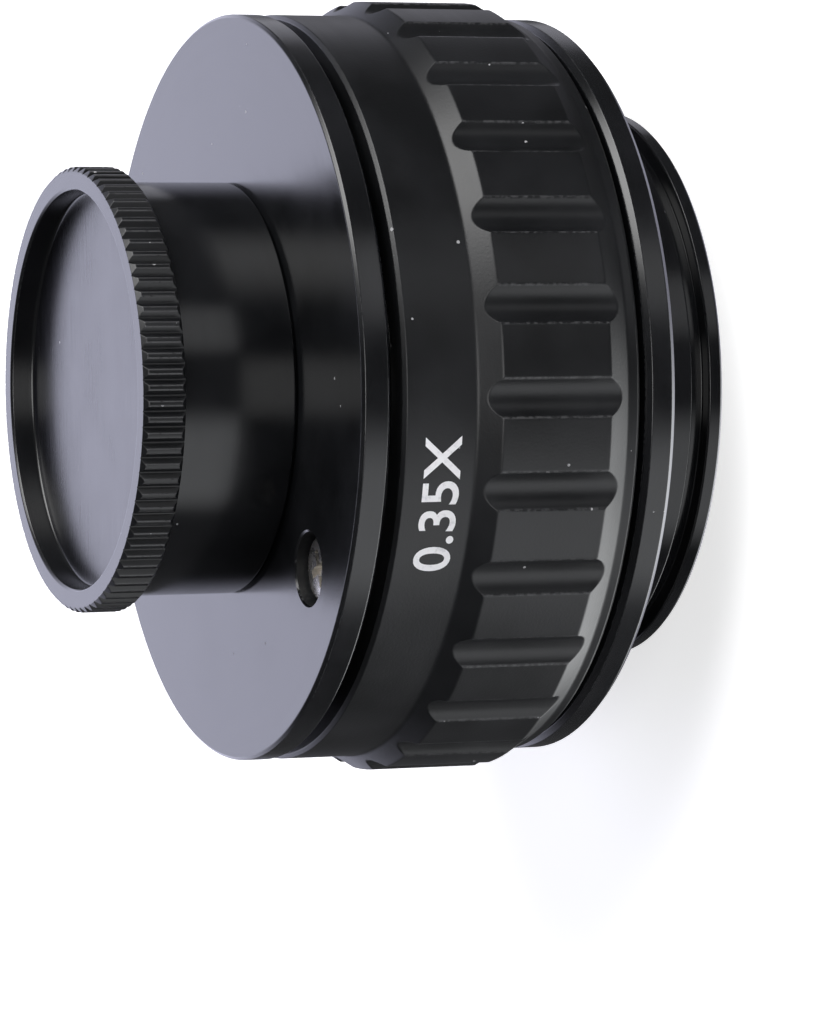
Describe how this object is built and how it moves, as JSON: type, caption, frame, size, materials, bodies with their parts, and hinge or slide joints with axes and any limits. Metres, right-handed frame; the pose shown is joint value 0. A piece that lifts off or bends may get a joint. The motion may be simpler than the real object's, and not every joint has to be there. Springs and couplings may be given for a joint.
{
  "type": "microscope camera adapter lens",
  "caption": "Reducing lens that joins a camera to a microscope's photo port, with a fluted focus ring, a grooved tail and a screw-on dust cap.",
  "frame": {"origin": "centre of the tail's end face, on the optical axis, on which it stands", "axes": "+Z along the optical axis towards the camera side and its dust cap; the printed side of the focus ring faces -Y"},
  "size_m": [0.053, 0.053, 0.0397],
  "materials": {
    "black_anodised": "black anodised, turned, fine blasted",
    "black_satin": "black anodised, satin",
    "black_gloss": "black anodised, face turned bright",
    "cap_gloss": "black anodised, polished",
    "inner_black": "matte black anodised",
    "nickel": "nickel plated steel",
    "dark_steel": "black oxide steel",
    "washer_white": "low-friction plastic",
    "coated_glass": "optical glass, anti-reflection coated"
  },
  "bodies": {
    "rear": {"rear_body": "black_anodised", "ring_retainer": "inner_black", "retainer_set_screw": "dark_steel", "guide_screw": "nickel"},
    "focus": {"focus_ring": "black_satin", "friction_washer": "washer_white"},
    "front": {"front_barrel": "black_gloss", "lens_cell": "inner_black", "cell_lock_ring": "inner_black", "rear_retaining_ring": "inner_black", "rear_crown_lens": "coated_glass", "rear_flint_lens": "coated_glass", "lens_spacer": "inner_black", "front_crown_lens": "coated_glass", "front_flint_lens": "coated_glass", "front_retaining_ring": "inner_black"},
    "cap": {"dust_cap": "cap_gloss"}
  },
  "joints": [
    {"name": "focus_turn", "type": "hinge", "parent": "rear", "child": "focus", "pos_m": [0, 0, 0.015], "axis": [0, 0, 1], "range_deg": [-160, 24]},
    {"name": "focus_travel", "type": "slide", "parent": "rear", "child": "front", "axis": [0, 0, 1], "range_m": [-0.0006, 0.004]},
    {"name": "cap_off", "type": "slide", "parent": "front", "child": "cap", "axis": [0, 0, 1], "range_m": [0, 0.03]}
  ],
  "couplings": [
    {"joint": "focus_travel", "follows": "focus_turn", "m_per_rad": -0.001432}
  ]
}
